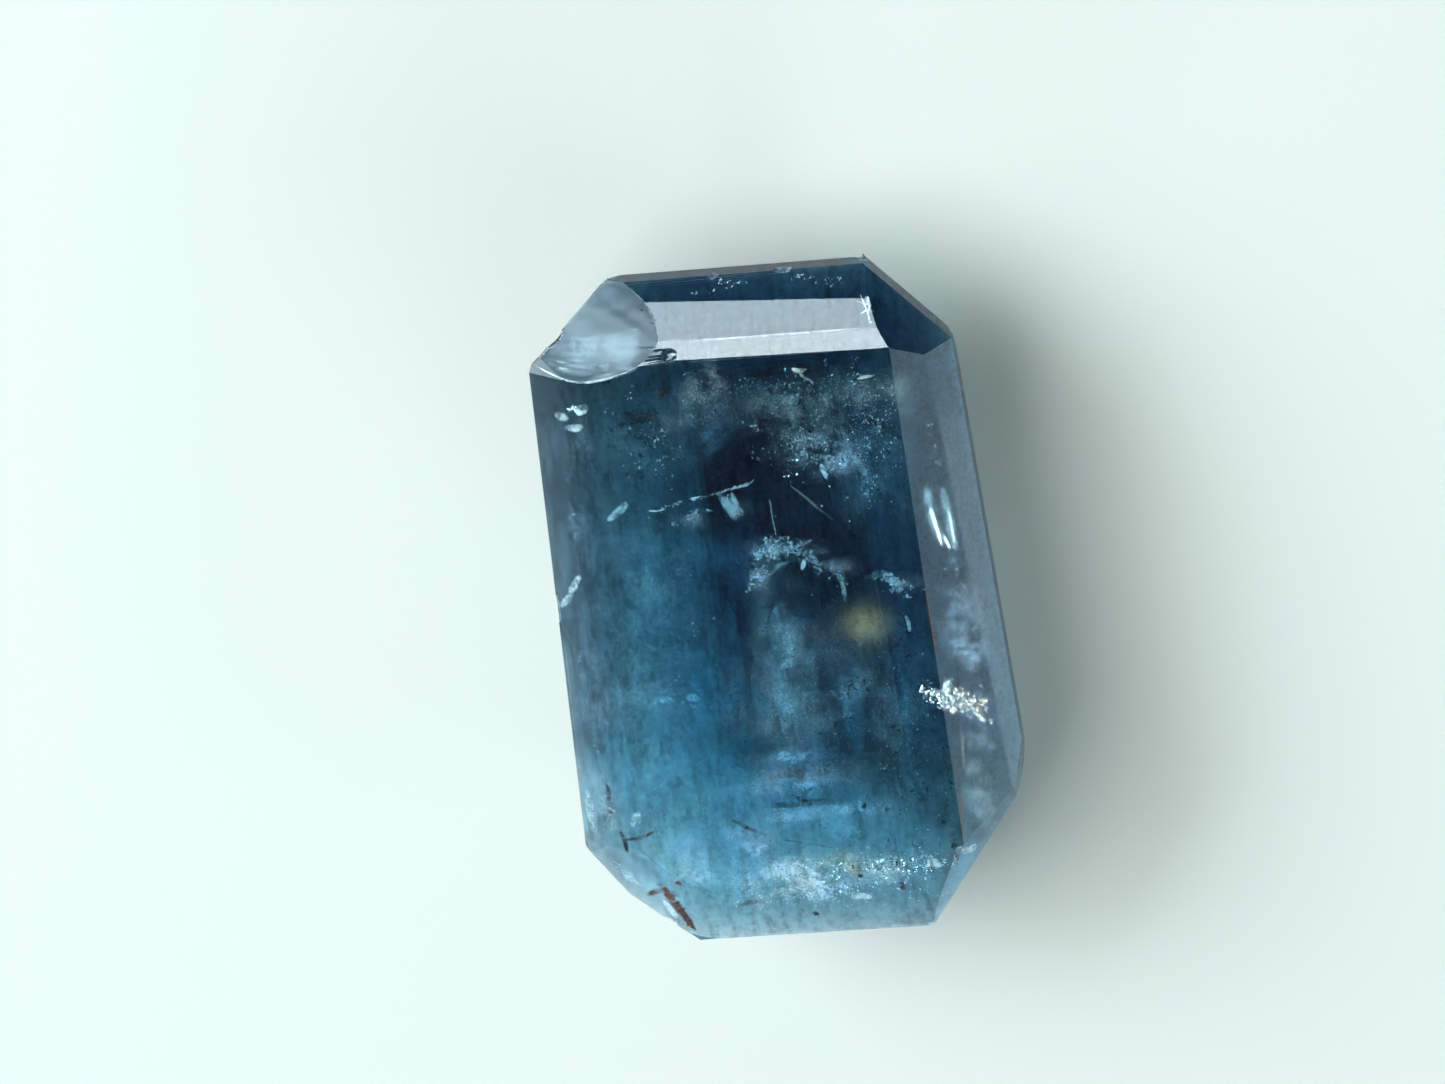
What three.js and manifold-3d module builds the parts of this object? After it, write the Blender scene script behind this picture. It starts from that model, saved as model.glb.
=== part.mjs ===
// A step-cut (emerald-cut) afghanite, lying table up on its flat culet.
// Millimetres, +Z up, the long axis along Y. The origin is under the middle of the stone, on the culet.
//
// The stone is made the way a cutter makes it: a rough block is ground against a flat lap, one facet at a time.
// Each side of the outline has its own row of facets, from the table down over the crown, the girdle and the
// pavilion to the culet. One corner has broken off in a shell-shaped fracture, and the edges carry small chips.

import * as THREE from 'three';
import { mergeVertices } from 'three/addons/utils/BufferGeometryUtils.js';
import Module from 'manifold-3d';

const wasm = await Module();
wasm.setup();

// Driving dimensions of the stone.
const length = 7.6; // along Y, over the girdle
const width = 4.78; // along X, over the girdle
const depth = 2.32; // from the culet to the table
const crownDrop = 0.34; // from the table to the girdle's upper edge
const girdleHeight = 0.2;
const breakDrop = 1.22; // from the table to the step between the upper and lower pavilion
const culetHalfWidth = 0.86;
const culetHalfLength = 2.3;

// How far the upper pavilion facets lean in between the girdle and the step.
const upperPavilionRun = 0.42;

const girdleBase = crownDrop + girdleHeight;
const halfLength = length / 2;
const halfWidth = width / 2;

// The flat sides of the outline. Each has a heading, the compass angle that it faces in degrees from +X towards +Y.
// `crown` runs from the table's edge down to the girdle, as distance from the stone's axis against drop below the
// table, one facet between each two points. A third value leans that facet's heading away from its side's, as
// cutting by hand does. `girdle` and `culet` are the distances of the girdle and of the culet's edge.
const sides = [
  {
    heading: 2.0,
    crown: [[1.65, 0], [2.11, 0.17, -1.3], [2.33, crownDrop]],
    girdle: 2.33,
    culet: culetHalfWidth,
  },
  {
    heading: 90.0,
    crown: [[2.97, 0], [3.2, 0.06], [3.55, 0.2, -0.3], [halfLength, crownDrop, -1.1]],
    girdle: halfLength,
    culet: culetHalfLength,
  },
  {
    heading: 178.8,
    crown: [[1.715, 0], [2.03, 0.14, 0.6], [2.335, crownDrop]],
    girdle: 2.335,
    culet: culetHalfWidth,
  },
  {
    heading: 269.4,
    crown: [[2.92, 0], [3.17, 0.08, 0.8], [3.53, 0.21], [3.78, crownDrop]],
    girdle: 3.78,
    culet: culetHalfLength,
  },
  { heading: 42.0, crown: [[3.18, 0], [3.59, crownDrop]], girdle: 3.59, culet: 2.06 },
  { heading: 135.0, crown: [[3.25, 0], [3.63, crownDrop]], girdle: 3.63, culet: 2.1 },
  { heading: 212.4, crown: [[3.0, 0], [3.56, crownDrop, 9.6]], girdle: 3.4, culet: 1.92 },
  { heading: 230.0, crown: [[3.12, 0], [3.73, crownDrop]], girdle: 3.73, culet: 2.22 },
  { heading: -36.9, crown: [[2.99, 0], [3.23, crownDrop]], girdle: 3.23, culet: 2.0 },
];

// The short extra face that takes off the right side below its widest point.
const nick = { heading: -12.5, distance: 2.73, slope: 84 };

// The broken corner: the stone is hollowed there by a shallow shell, part of an ellipsoid with these radii,
// leaned back about X and then turned about Z, in degrees.
const fracture = {
  radii: [5.0, 2.0, 5.0],
  lean: -32.9,
  turn: -23.1,
  centre: [-2.75, 6.2, depth + 3.42],
  columns: 240,
  rows: 240,
};

// Chips along the edges: centre on the edge, half sizes along X, Y and Z, and a turn about Z in degrees.
const chips = [
  { at: [2.42, -2.13, depth - 0.44], size: [0.1, 0.17, 0.2], turn: 8 }, // right side of the girdle
  { at: [2.36, -2.42, depth - 0.5], size: [0.05, 0.09, 0.1], turn: 30 },
  { at: [-0.72, 3.08, depth + 0.01], size: [0.11, 0.09, 0.07], turn: 10 }, // table edge beside the fracture
  { at: [0.55, 3.83, depth - 0.36], size: [0.12, 0.06, 0.07], turn: 0 }, // top end of the girdle
  { at: [-0.2, 3.82, depth - 0.34], size: [0.06, 0.05, 0.06], turn: 20 },
  { at: [1.36, 3.82, depth - 0.52], size: [0.1, 0.07, 0.06], turn: -10 },
  { at: [-2.0, 3.16, depth - 0.52], size: [0.13, 0.07, 0.12], turn: 44 }, // thin rim of the fracture
  { at: [-2.34, 0.15, depth - 0.34], size: [0.04, 0.16, 0.05], turn: 0 }, // left side of the girdle
  { at: [-1.6, -3.56, depth - 0.36], size: [0.07, 0.07, 0.06], turn: 0 }, // bottom left corner
  { at: [1.62, -2.9, depth + 0.02], size: [0.07, 0.06, 0.06], turn: 0 }, // bottom right corner of the table
];
const chipColumns = 14;
const chipRows = 9;

// The block that one lap cut takes away, large enough to clear the whole stone.
const lapSize = 24;

function solidOf(geometry) {
  const bare = geometry.clone();
  bare.deleteAttribute('normal');
  bare.deleteAttribute('uv');
  const merged = mergeVertices(bare, 1e-5);
  return new wasm.Manifold(
    new wasm.Mesh({
      numProp: 3,
      vertProperties: new Float32Array(merged.attributes.position.array),
      triVerts: new Uint32Array(merged.index.array),
    }),
  );
}

function geometryOf(solid) {
  const mesh = solid.getMesh();
  const geometry = new THREE.BufferGeometry();
  geometry.setAttribute('position', new THREE.BufferAttribute(new Float32Array(mesh.vertProperties), 3));
  geometry.setIndex(new THREE.BufferAttribute(new Uint32Array(mesh.triVerts), 1));
  geometry.computeVertexNormals();
  return geometry;
}

// A flat lap cut: all that lies beyond the plane through `point` with the outward `normal`.
function lapCut(point, normal) {
  const block = new THREE.BoxGeometry(lapSize, lapSize, lapSize / 2);
  block.translate(0, 0, lapSize / 4);
  const turn = new THREE.Quaternion().setFromUnitVectors(new THREE.Vector3(0, 0, 1), normal);
  block.applyQuaternion(turn);
  block.translate(point.x, point.y, point.z);
  return solidOf(block);
}

// A facet that faces `heading`, through two points of its side's profile, given as distance and drop.
function facetCut(heading, upper, lower) {
  const angle = THREE.MathUtils.degToRad(heading);
  const outward = new THREE.Vector3(Math.cos(angle), Math.sin(angle), 0);
  const middle = (upper[0] + lower[0]) / 2;
  const point = outward.clone().multiplyScalar(middle).setZ(depth - (upper[1] + lower[1]) / 2);
  const normal = outward.clone().multiplyScalar(lower[1] - upper[1]).setZ(lower[0] - upper[0]).normalize();
  return lapCut(point, normal);
}

// One side's facets: the crown steps, then the girdle, the upper pavilion and the lower pavilion.
function facetsOf({ heading, crown, girdle, culet }) {
  const below = [[girdle, crownDrop], [girdle, girdleBase], [girdle - upperPavilionRun, breakDrop], [culet, depth]];
  return [crown, below].flatMap((profile) =>
    profile.slice(1).map((lower, i) => facetCut(heading + (lower[2] ?? 0), profile[i], lower)),
  );
}

function nickCut({ heading, distance, slope }) {
  const angle = THREE.MathUtils.degToRad(heading);
  const tilt = THREE.MathUtils.degToRad(slope);
  const normal = new THREE.Vector3(Math.cos(angle) * Math.sin(tilt), Math.sin(angle) * Math.sin(tilt), Math.cos(tilt));
  const point = new THREE.Vector3(Math.cos(angle), Math.sin(angle), 0).multiplyScalar(distance);
  return lapCut(point.setZ(depth - girdleBase), normal);
}

function fractureCut({ radii, lean, turn, centre, columns, rows }) {
  const shell = new THREE.SphereGeometry(1, columns, rows);
  shell.scale(...radii);
  shell.rotateX(THREE.MathUtils.degToRad(lean));
  shell.rotateZ(THREE.MathUtils.degToRad(turn));
  shell.translate(...centre);
  return solidOf(shell);
}

function chipCut({ at, size, turn }) {
  const chip = new THREE.SphereGeometry(1, chipColumns, chipRows);
  chip.scale(...size);
  chip.rotateZ(THREE.MathUtils.degToRad(turn));
  chip.translate(...at);
  return solidOf(chip);
}

function cutStone() {
  const rough = new THREE.BoxGeometry(width + 1, length + 1, depth);
  rough.translate(0, 0, depth / 2);
  const cuts = [...sides.flatMap(facetsOf), nickCut(nick), fractureCut(fracture), ...chips.map(chipCut)];
  return cuts.reduce((stone, cut) => stone.subtract(cut), solidOf(rough));
}

const afghanite = new THREE.MeshStandardMaterial({
  name: 'afghanite',
  color: 0x2f6f93,
  roughness: 0.12,
  metalness: 0,
});

const gemstone = new THREE.Mesh(geometryOf(cutStone()), afghanite);
gemstone.name = 'gemstone';

const part = new THREE.Group();
part.add(gemstone);

export default part;
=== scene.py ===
# A step-cut afghanite lying table up on its culet, on a pale floor under soft light.
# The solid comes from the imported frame. Here its edges are eased, its chips and its broken corner are roughened,
# its facets are polished or frosted, and the clouds, veils, flecks and stains inside it are added.
import math
from functools import partial

import bmesh
import bpy
import numpy as np
from mathutils import Matrix, Vector


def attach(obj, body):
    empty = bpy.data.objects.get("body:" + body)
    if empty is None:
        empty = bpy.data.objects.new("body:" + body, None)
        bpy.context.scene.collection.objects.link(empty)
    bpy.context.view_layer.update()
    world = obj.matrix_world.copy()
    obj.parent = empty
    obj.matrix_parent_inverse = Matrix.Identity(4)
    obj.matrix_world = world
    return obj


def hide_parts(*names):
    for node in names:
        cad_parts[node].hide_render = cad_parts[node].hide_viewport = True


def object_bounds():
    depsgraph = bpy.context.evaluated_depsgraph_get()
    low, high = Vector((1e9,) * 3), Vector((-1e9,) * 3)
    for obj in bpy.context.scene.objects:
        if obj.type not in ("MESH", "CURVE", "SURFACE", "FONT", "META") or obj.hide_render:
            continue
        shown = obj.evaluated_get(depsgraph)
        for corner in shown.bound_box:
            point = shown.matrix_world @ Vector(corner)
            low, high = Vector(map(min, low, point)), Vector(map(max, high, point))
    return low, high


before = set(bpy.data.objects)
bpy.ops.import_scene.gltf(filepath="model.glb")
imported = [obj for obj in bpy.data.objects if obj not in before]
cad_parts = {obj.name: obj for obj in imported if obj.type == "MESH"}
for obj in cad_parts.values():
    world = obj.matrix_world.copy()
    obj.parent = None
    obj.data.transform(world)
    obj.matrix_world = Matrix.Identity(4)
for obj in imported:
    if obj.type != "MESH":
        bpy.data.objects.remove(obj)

mm = 0.001
solidBox = [list(corner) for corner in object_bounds()]
floorLevel, tableLevel = solidBox[0][2], solidBox[1][2]


def linear(hexColour, alpha=1.0):
    # each sRGB channel is straightened: below 0.04045 by division, above it by a power of 2.4
    channels = np.array([int(hexColour[i:i + 2], 16) / 255 for i in (1, 3, 5)])
    low, high = channels / 12.92, ((channels + 0.055) / 1.055) ** 2.4
    return (*np.where(channels <= 0.04045, low, high).tolist(), alpha)


def addNode(tree, kind, settings=None, links=None):
    # settings name inputs or properties; links give the node or the socket that feeds each input
    node = tree.nodes.new("ShaderNode" + kind)
    for key, value in (settings or {}).items():
        if isinstance(key, int) or key in node.inputs:
            node.inputs[key].default_value = value
        else:
            setattr(node, key, value)
    for key, source in (links or {}).items():
        if isinstance(source, bpy.types.Node):
            source = next(socket for socket in source.outputs if socket.enabled)
        tree.links.new(source, node.inputs[key])
    return node


def emptyMaterial(name):
    material = bpy.data.materials.new(name)
    material.use_nodes = True
    material.node_tree.nodes.clear()
    return material, partial(addNode, material.node_tree)


def addObject(name, data):
    made = bpy.data.objects.new(name, data)
    bpy.context.scene.collection.objects.link(made)
    return made


def unit(vectors):
    return vectors / np.linalg.norm(vectors, axis=-1, keepdims=True)


view = {
    "towards": (0.155, 0.38, 0.912),  # from the stone to the lens: a little to the right and head, and well above
    "roll": 4.3,  # degrees
    "distance": 300 * mm,
    "acrossFrame": 15.21 * mm,  # real width that the frame takes in at the table
    "sensor": 36.0,
    "clip": (0.02, 5),
    "tableMiddle": (0.015 * mm, 0.11 * mm, tableLevel),
    "aimRight": -0.537 * mm, "aimUp": 0.70 * mm,  # the frame's middle, from the table's middle
}


def addCamera():
    back = Vector(view["towards"]).normalized()
    right = (Vector((1, 0, 0)) - back * back.x).normalized()
    up = back.cross(right)
    roll = math.radians(view["roll"])
    right, up = right * math.cos(roll) - up * math.sin(roll), right * math.sin(roll) + up * math.cos(roll)
    aim = Vector(view["tableMiddle"]) + right * view["aimRight"] + up * view["aimUp"]
    lens = bpy.data.cameras.new("camera")
    lens.sensor_width = view["sensor"]
    lens.lens = view["sensor"] * view["distance"] / view["acrossFrame"]
    lens.clip_start, lens.clip_end = view["clip"]
    camera = addObject("camera", lens)
    camera.matrix_world = Matrix.Translation(aim + back * view["distance"]) @ Matrix(
        (right, up, back)).transposed().to_4x4()
    bpy.context.scene.camera = camera


addCamera()
print("camera placed")


stone = {
    "node": "gemstone",
    # how far each kind of edge is worn back, and in how many strips
    "backEase": (0.14 * mm, 4),  # the hidden lower facets run softly into one another
    "stepEase": (0.09 * mm, 5),  # polishing has run the end steps into one another
    "sideEase": (0.1 * mm, 5),  # and the two facets along the right side
    "edgeEase": (0.028 * mm, 3),
    # parts of a facet's normal: up on the end steps and on the right side, along the facet's way, and across it
    "stepLean": (0.8, 0.945), "sideLean": (0.72, 0.96), "along": 0.3, "across": 0.1,
    "flatMesh": math.radians(0.15),  # triangles that meet flatter than this are one face
    "flatJoin": math.radians(3.2),  # faces that meet flatter than this are one facet
    "mainFacet": 0.05 * mm ** 2,  # smaller facets are chips
    "planeFace": 0.03 * mm ** 2,  # the smallest face that a facet's plane is taken from
    "sameWay": 0.9998,  # cosine between a sliver and the facet that it belongs to
    "sameLevel": 0.004,  # and how far it may lie off that facet, in mm
    "headRows": 3.3,  # in mm; nearer the table the slivers beside a chip wear down with it
    "upright": 0.15,  # the girdle looks up or down by less than this
    "level": 0.999,  # the table and the culet by more
    "overhead": 0.1,  # facets that look up by more than this lie over the inclusions
    "chipThrow": (-0.022, 0.01),  # how far the points inside a chip are moved, in mm
    "chipSeed": 8,
    "glassyDepth": 0.1 * mm,  # chips this close to the table broke clean
    # roughness left on each kind of surface by cutting, handling and breaking; the lower facets were only ground
    "frost": {"table": 0.03, "end": 0.08, "left side": 0.2, "right side": 0.4, "corner": 0.16, "girdle": 0.2,
              "break": 0.6, "chip": 0.45, "glassy chip": 0.12, "culet": 0.5, "back left": 0.85, "back right": 0.8,
              "back head": 0.8, "back foot": 0.9},
    # kinds told by their heading: name, heading and how far to either side of it, in degrees from +X towards +Y
    "upperWays": (("right side", 0, 12), ("left side", 180, 12), ("end", 90, 12), ("end", -90, 12)),
    "backWays": (("back right", 0, 25), ("back left", 180, 30), ("back foot", -92.5, 67.5)),
}

# the hollow of the broken corner is part of an ellipsoid
breakHollow = {
    "radii": np.array([5.0, 2.0, 5.0]) * mm,
    "centre": np.array([-2.75, 6.2, 5.74]) * mm,
    "lean": math.radians(-32.9),
    "turn": math.radians(-23.1),
    "reach": (-0.8 * mm, 1.5 * mm),  # the broken face lies left of the first and headwards of the second
    # in the ellipsoid's radii: how far off it a broken face and a facet's middle may lie, and what lies inside
    "onSurface": 0.004, "nearSurface": 0.01, "clear": 1.02,
    "noFloor": 9.0,  # height in mm where the hollow doesn't reach
    "cuts": 3,
    "blow": (-2.35, 3.3, 1.7),  # where the blow fell, in mm
    "ring": (0.003, 0.5),  # height and spacing of the rings round it, in mm
    "waves": (0.33, 0.27, 0.21, 0.17, 0.14, 0.1, 0.08),  # lengths of the finer waves, in mm
    "waveRise": 0.009,  # their height for each mm of length
    "ridge": ((-1.35, 3.75, 1.9), (-1.65, 2.9, 2.2)), "ridgeFall": 0.02,  # its ends in mm, and its fall to each side
    "seed": 5,
}
hollowAxes = np.array(Matrix.Rotation(breakHollow["turn"], 3, "Z")) @ np.array(
    Matrix.Rotation(breakHollow["lean"], 3, "X"))


def hollowDepth(points):
    # distance from the hollow's centre in its own radii, 1 on its surface
    own = (points - breakHollow["centre"]) @ hollowAxes
    return np.linalg.norm(own / breakHollow["radii"], axis=-1)


def onBreak(points):
    # whether each place is on the ellipsoid, in the corner that it takes away
    rightEnd, footEnd = breakHollow["reach"]
    return ((np.abs(hollowDepth(points) - 1) < breakHollow["onSurface"])
            & (points[..., 0] < rightEnd) & (points[..., 1] > footEnd))


def faceArrays(mesh):
    # middles, normals and areas of all faces, one row for each face
    arrays = []
    for key, width in (("center", 3), ("normal", 3), ("area", 1)):
        values = np.empty(len(mesh.polygons) * width)
        mesh.polygons.foreach_get(key, values)
        arrays.append(values.reshape(-1, width))
    return arrays


def facetPlanes():
    # the facets of the cut stone as planes, n . p = d in mm; the hollow and the small chips are left out
    centres, normals, areas = faceArrays(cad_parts[stone["node"]].data)
    keep = (areas[:, 0] > stone["planeFace"]) & (np.abs(hollowDepth(centres) - 1) > breakHollow["nearSurface"])
    levels = (normals[keep] * centres[keep]).sum(axis=1) / mm
    return np.unique(np.column_stack([normals[keep], levels]).round(4), axis=0)


planes = facetPlanes()


def mergedCopy():
    # the solid's loose triangles, joined at their shared corners
    work = bmesh.new()
    work.from_mesh(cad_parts[stone["node"]].data)
    bmesh.ops.remove_doubles(work, verts=work.verts, dist=1e-7)
    bmesh.ops.dissolve_limit(work, angle_limit=stone["flatMesh"], verts=work.verts, edges=work.edges)
    return work


def facetLabels(work):
    # every face takes the lowest number among the neighbours that it meets almost flat, until none changes
    work.faces.ensure_lookup_table()
    work.faces.index_update()
    inner = [e for e in work.edges if len(e.link_faces) == 2]
    pairs = np.array([[f.index for f in e.link_faces] for e in inner])
    angles = np.array([e.calc_face_angle(math.pi) for e in inner])
    flat = pairs[angles < stone["flatJoin"]]
    labels = np.arange(len(work.faces))
    while True:
        lowest = labels[flat].min(axis=1)
        updated = labels.copy()
        np.minimum.at(updated, flat[:, 0], lowest)
        np.minimum.at(updated, flat[:, 1], lowest)
        if (updated == labels).all():
            return labels, inner, pairs, angles
        labels = updated


def mainFaces(work, labels):
    # the faces of the large facets, and at the head the slivers that lie in a facet's plane
    areas = np.array([f.calc_area() for f in work.faces])
    facetArea = np.bincount(labels, areas, minlength=len(labels))[labels]
    normals = np.array([f.normal for f in work.faces])
    centres = np.array([f.calc_center_median() for f in work.faces]) / mm
    sameWay = normals @ planes[:, :3].T > stone["sameWay"]
    sameLevel = np.abs(centres @ planes[:, :3].T - planes[:, 3]) < stone["sameLevel"]
    inPlane = (sameWay & sameLevel).any(axis=1)
    return (facetArea > stone["mainFacet"]) | (inPlane & (centres[:, 1] > stone["headRows"]))


def rippleHeight(points):
    # Conchoidal ripples round the point of the blow, h sin(2 pi r / spacing), with seven finer waves that cross
    # them, and a blunt ridge, -fall |s|, where s is the distance from the ridge line. All in mm.
    p = points / mm
    r = np.linalg.norm(p - np.array(breakHollow["blow"]), axis=1)
    rise, spacing = breakHollow["ring"]
    height = rise * np.sin(2 * np.pi * r / spacing)
    random = np.random.default_rng(breakHollow["seed"])
    for length in breakHollow["waves"]:
        way = unit(random.normal(0, 1, 3))
        height += breakHollow["waveRise"] * length * np.sin(2 * np.pi * (p @ way) / length + random.uniform(0, 6))
    start, end = (np.array(point) for point in breakHollow["ridge"])
    across = unit(np.cross(unit(end - start), np.array([0, 0, 1.0])))
    return (height - breakHollow["ridgeFall"] * np.abs((p - start) @ across)) * mm


def moveAlongNormals(verts, steps):
    for vert, step in zip(verts, steps):
        vert.co += vert.normal * float(step)


def roughenHollow(work):
    # the broken face is divided finely and its inner points are moved along their normals
    def brokenFaces():
        return {f for f in work.faces if f.normal.z < stone["level"] and onBreak(np.array(f.calc_center_median()))}
    faces = brokenFaces()
    edges = [edge for edge in work.edges if len(edge.link_faces) == 2 and all(f in faces for f in edge.link_faces)]
    bmesh.ops.subdivide_edges(work, edges=edges, cuts=breakHollow["cuts"], use_grid_fill=True)
    work.normal_update()
    faces = brokenFaces()
    inner = [vert for vert in work.verts if vert.link_faces and all(f in faces for f in vert.link_faces)]
    moveAlongNormals(inner, rippleHeight(np.array([vert.co for vert in inner])))
    print("broken face:", len(faces), "faces,", len(inner), "points moved")


def roughenChips(work, smallLayer):
    # the points inside each chip are thrown off its smooth bowl, but never above the table
    inner = [v for v in work.verts if v.link_faces and all(face[smallLayer] == 1 for face in v.link_faces)]
    random = np.random.default_rng(stone["chipSeed"])
    moveAlongNormals(inner, random.uniform(*stone["chipThrow"], len(inner)) * mm)
    for vert in inner:
        vert.co.z = min(vert.co.z, tableLevel)


def surfaceKinds(mesh, small):
    # each face is told by which way it looks and how high it lies; small ones above the girdle are chips
    centres, normals, _ = faceArrays(mesh)
    heading = np.degrees(np.arctan2(normals[:, 1], normals[:, 0]))
    up = normals[:, 2]
    kinds = np.full(len(up), "corner", dtype=object)

    def nameByHeading(ways, among):
        for kind, middle, spread in ways:
            kinds[among & (np.abs((heading - middle + 180) % 360 - 180) < spread)] = kind
    nameByHeading(stone["upperWays"], True)
    kinds[np.abs(up) < stone["upright"]] = "girdle"
    back = up < -stone["upright"]
    kinds[back] = "back head"
    nameByHeading(stone["backWays"], back)
    kinds[up < -stone["level"]] = "culet"
    kinds[up > stone["level"]] = "table"
    kinds[small & ~back] = "chip"
    kinds[(kinds == "chip") & (centres[:, 2] > tableLevel - stone["glassyDepth"])] = "glassy chip"
    kinds[onBreak(centres) & (kinds != "table")] = "break"
    return kinds


def isStep(normal):
    low, high = stone["stepLean"]
    return abs(normal.y) > stone["along"] and abs(normal.x) < stone["across"] and low < normal.z < high


def isRightSide(normal):
    low, high = stone["sideLean"]
    return normal.x > stone["along"] and abs(normal.y) < stone["across"] and low < normal.z < high


def easeEdges(work, edges, ease, clamp=True):
    offset, segments = stone[ease]
    return bmesh.ops.bevel(work, geom=edges, offset=offset, segments=segments, profile=0.5, affect="EDGES",
                           clamp_overlap=clamp)["faces"]


def easedStone():
    work = mergedCopy()
    labels, inner, pairs, angles = facetLabels(work)
    main = mainFaces(work, labels)
    sharp = (angles >= stone["flatJoin"]) & main[pairs].all(axis=1)
    smallLayer = work.faces.layers.int.new("small")
    for face in work.faces:
        face[smallLayer] = int(not main[face.index])
    below = np.array([max(f.normal.z for f in e.link_faces) < -stone["upright"] for e in inner])
    # the girdle stays sharp where chips cut it, because an easing would fold there
    chipped = np.array([any(abs(f.normal.z) < stone["upright"] for f in e.link_faces)
                        and any(f[smallLayer] == 1 for v in e.verts for f in v.link_faces) for e in inner])
    upper = [e for e, wanted in zip(inner, sharp & ~below & ~chipped) if wanted]
    lower = [e for e, wanted in zip(inner, sharp & below) if wanted]
    easeEdges(work, lower, "backEase", clamp=False)
    eased, chosen = [], []
    for ease, wanted in (("stepEase", isStep), ("sideEase", isRightSide), ("edgeEase", lambda normal: True)):
        upper = [e for e in upper if e.is_valid and e not in chosen]
        chosen = [e for e in upper if all(wanted(f.normal) for f in e.link_faces)]
        eased += easeEdges(work, chosen, ease)
    for face in eased:
        if face.is_valid:
            face[smallLayer] = 2
    roughenHollow(work)
    roughenChips(work, smallLayer)
    mesh = bpy.data.meshes.new("afghanite_stone")
    work.to_mesh(mesh)
    work.free()
    small = np.empty(len(mesh.polygons), dtype=np.int32)
    mesh.attributes["small"].data.foreach_get("value", small)
    kinds = surfaceKinds(mesh, small == 1)
    frost = mesh.attributes.new("frost", "FLOAT", "FACE")
    frost.data.foreach_set("value", np.array([stone["frost"][kind] for kind in kinds], dtype=np.float32))
    mesh.polygons.foreach_set("use_smooth", (kinds == "break") | (small == 2))
    print({kind: int((kinds == kind).sum()) for kind in stone["frost"]})
    return mesh


afghanite = {
    "ior": 1.525,
    "depthColour": "#4bc7db", "depthDensity": 1400.0,  # for each metre of path
    # painted shade in the underside's tint, which dims what is seen through the lower facets: dark at the head, paler
    # in the middle, greyer on the right
    "headPaintedShade": "#3d4543", "middlePaintedShade": "#9da4a7", "rightPaintedShade": "#666d64",
    "fibreShare": 1.8,  # of the fibres in the haze, against its specks
    # two axes that run aslant: the second axis plus a share of the first
    "slants": (("slant", "Y", "X", -0.129), ("footSlant", "X", "Y", 0.35)),
    # zones: along which axis and between which two places in mm each runs from one value to the other
    "zones": {
        # the next six zones place the painted shade in the underside's tint
        "rightShadeZone": ("slant", -1.0, -0.5, 0, 1, "SMOOTHSTEP"),
        "shadeFreeFoot": ("footSlant", -2.15, -2.75, 0, 1, "SMOOTHSTEP"),
        "leftOfCorner": ("X", 1.8, 0.7, 0, 1, "SMOOTHSTEP"),
        "lengthwise": ("Y", 2.9, -1.0, 0, 1, "LINEAR"),
        "leftRimShade": ("X", -1.6, -2.05, 1, 0.6, "SMOOTHSTEP"),
        "footRimShade": ("Y", -3.1, -3.5, 1, 0.72, "SMOOTHSTEP"),
        "crown": ("Z", 1.74, 1.8, 0, 1, "LINEAR"),
        "farRight": ("X", 1.66, 1.7, 0, 1, "LINEAR"),
        "headWear": ("Y", 1.7, 2.5, 0, 0.1, "SMOOTHSTEP"),
    },
}


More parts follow.
